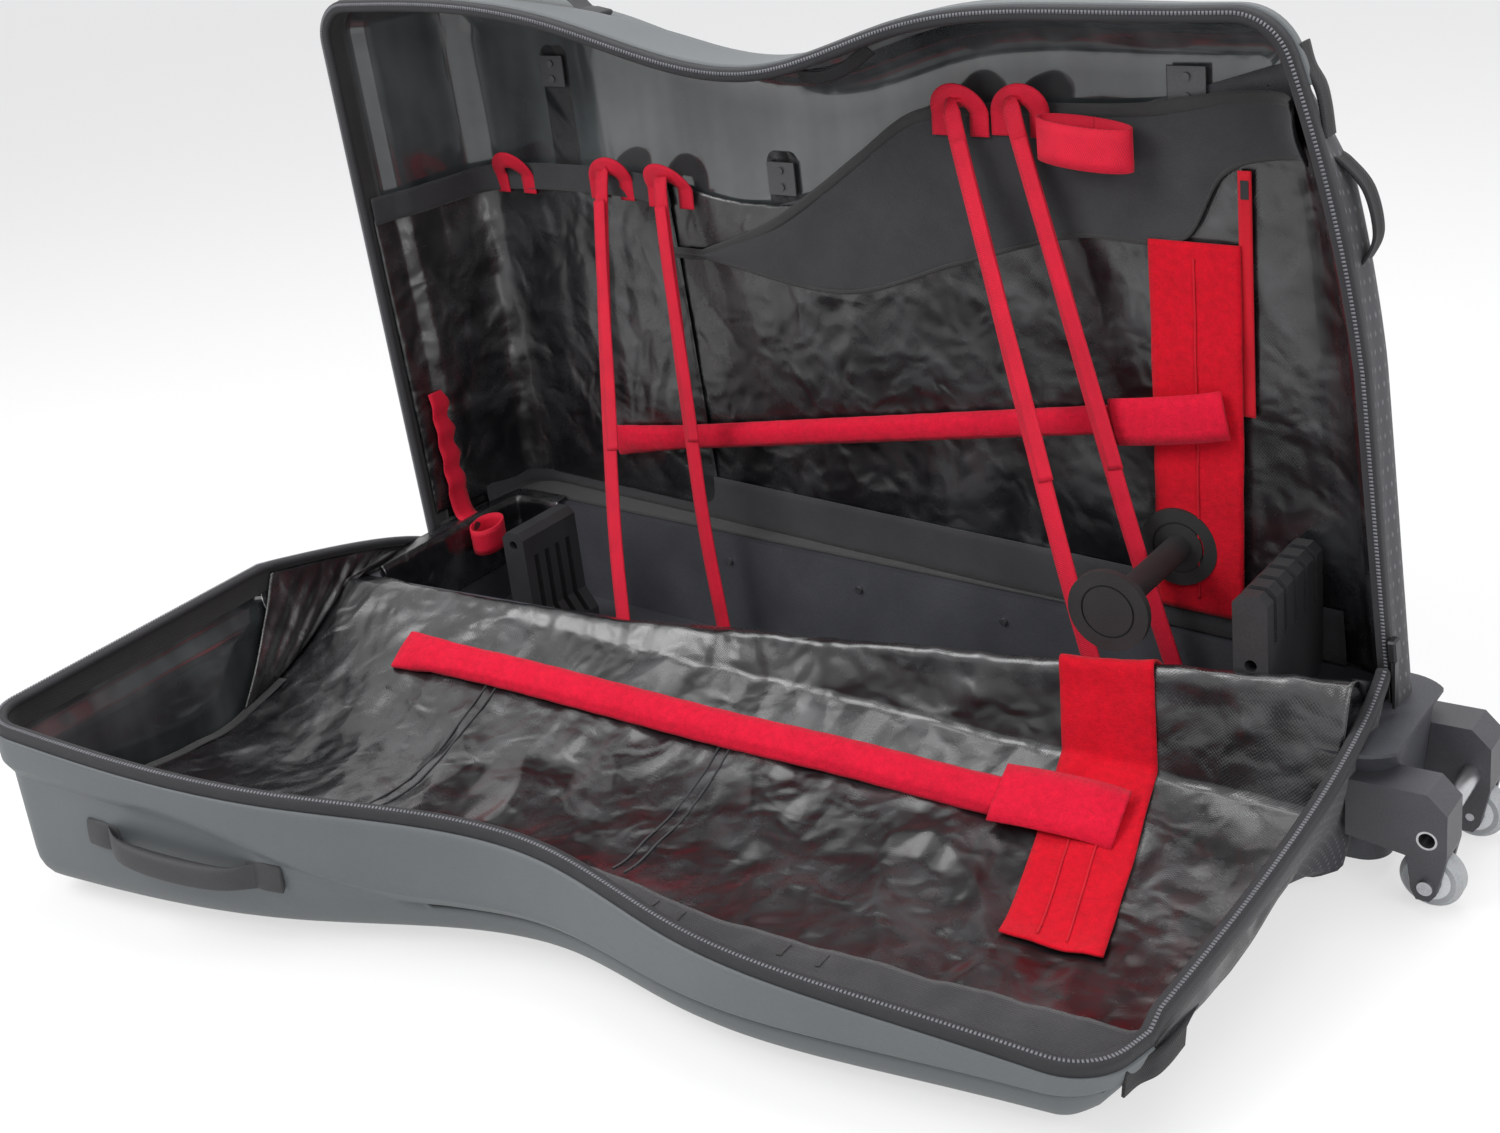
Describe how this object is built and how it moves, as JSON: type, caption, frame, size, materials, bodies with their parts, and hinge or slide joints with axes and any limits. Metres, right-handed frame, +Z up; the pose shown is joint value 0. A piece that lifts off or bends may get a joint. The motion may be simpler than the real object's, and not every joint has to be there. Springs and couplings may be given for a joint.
{
  "type": "bike travel case",
  "caption": "Hybrid hard and soft bike travel case, opened: upright rear half on a wheeled base with strap and axle fittings, and a lid that hinges along the bottom.",
  "frame": {"origin": "point on the floor under the zip plane, at the middle of the case's length", "axes": "+X to the wheeled end, +Y to the back of the upright half, +Z up"},
  "size_m": [1.395, 0.9106, 0.8516],
  "materials": {
    "tub_plastic": "moulded, fine grain",
    "foot_rubber": "moulded",
    "bracket_plastic": "moulded, fine grain",
    "steel": "zinc plated",
    "bar_aluminium": "brushed tube",
    "rail_aluminium": "black anodised extrusion",
    "post_plastic": "moulded",
    "hard_shell": "matte grain outside, smooth inside",
    "wall_fabric": "woven, coated, with small pale dots",
    "zip_tape": "zip tape with coil and binding",
    "liner_cloth": "shiny coated weave, creased",
    "pocket_cloth": "matte weave",
    "plate_plastic": "moulded plate with screw heads",
    "handle_rubber": "moulded, matte",
    "black_webbing": "nylon webbing",
    "red_loop_cloth": "loop pile",
    "red_padding": "padded weave",
    "red_zip": "coil zip tape",
    "zip_slider": "black, satin",
    "red_webbing": "nylon webbing",
    "disc_plastic": "hook face",
    "skid_plastic": "moulded, satin",
    "wheel_tyre": "clear grey polyurethane",
    "wheel_hub": "moulded"
  },
  "bodies": {
    "rear_half": {"adapter_rail": "rail_aluminium", "axle_far": "steel", "axle_near": "steel", "base_feet": "foot_rubber", "base_tub": "tub_plastic", "front_strap_far": "red_webbing", "front_strap_near": "red_webbing", "grip_bar": "bar_aluminium", "hinge_gusset": "wall_fabric", "ladder_strap": "red_webbing", "left_pocket": "pocket_cloth", "pocket_loops": "red_webbing", "pocket_zip_tape": "red_zip", "rear_corner_tab": "black_webbing", "rear_liner": "liner_cloth", "rear_loop_panel": "red_loop_cloth", "rear_post": "post_plastic", "rear_rail_plates": "plate_plastic", "rear_rim_zip": "zip_tape", "rear_shell": "hard_shell", "rear_skid_rail_left": "skid_plastic", "rear_skid_rail_middle": "skid_plastic", "rear_skid_rail_right": "skid_plastic", "rear_sleeve": "red_padding", "rear_soft_wall": "wall_fabric", "rear_strap_far": "red_webbing", "rear_strap_near": "red_webbing", "rear_top_handle": "handle_rubber", "right_pocket": "pocket_cloth", "seat_strap": "red_webbing", "side_handle": "black_webbing", "spacer_disc_far": "disc_plastic", "spacer_disc_near": "disc_plastic", "spacer_tube": "disc_plastic", "strap_anchors": "post_plastic", "tub_screws": "steel", "wheel_bracket_far": "bracket_plastic", "wheel_bracket_near": "bracket_plastic"},
    "lid": {"lid_shell": "hard_shell", "lid_soft_wall": "wall_fabric", "lid_rim_zip": "zip_tape", "lid_liner": "liner_cloth", "lid_skid_rail_left": "skid_plastic", "lid_skid_rail_middle": "skid_plastic", "lid_skid_rail_right": "skid_plastic", "lid_rail_plates": "plate_plastic", "lid_handle": "handle_rubber", "lid_corner_tab": "black_webbing", "lid_loop_panel": "red_loop_cloth", "lid_sleeve": "red_padding"},
    "wheel_near": {"wheel_near_tyre": "wheel_tyre", "wheel_near_hub": "wheel_hub", "wheel_near_bearings": "steel"},
    "wheel_far": {"wheel_far_tyre": "wheel_tyre", "wheel_far_hub": "wheel_hub", "wheel_far_bearings": "steel"},
    "fork_adapter": {"fork_post": "post_plastic"},
    "main_zip": {"main_zip_slider": "zip_slider", "main_zip_puller": "zip_slider"},
    "pocket_zip": {"pocket_zip_slider": "zip_slider"}
  },
  "joints": [
    {"name": "lid_hinge", "type": "hinge", "parent": "rear_half", "child": "lid", "pos_m": [-0.24067, 0, 0.18], "axis": [-0.9941, -0.1084, 0], "range_deg": [0, 90], "deforming": ["hinge_gusset"]},
    {"name": "wheel_near_spin", "type": "hinge", "parent": "rear_half", "child": "wheel_near", "pos_m": [0.674, -0.066, 0.029], "axis": [0, 1, 0], "continuous": true},
    {"name": "wheel_far_spin", "type": "hinge", "parent": "rear_half", "child": "wheel_far", "pos_m": [0.674, 0.066, 0.029], "axis": [0, 1, 0], "continuous": true},
    {"name": "fork_adapter_slide", "type": "slide", "parent": "rear_half", "child": "fork_adapter", "axis": [1, 0, 0], "range_m": [-0.06, 0.1]},
    {"name": "main_zip_slide", "type": "slide", "parent": "rear_half", "child": "main_zip", "axis": [-0.0785, 0, 0.9969], "range_m": [0, 0.24]},
    {"name": "pocket_zip_slide", "type": "slide", "parent": "rear_half", "child": "pocket_zip", "axis": [0, 0, -1], "range_m": [0, 0.2]}
  ]
}
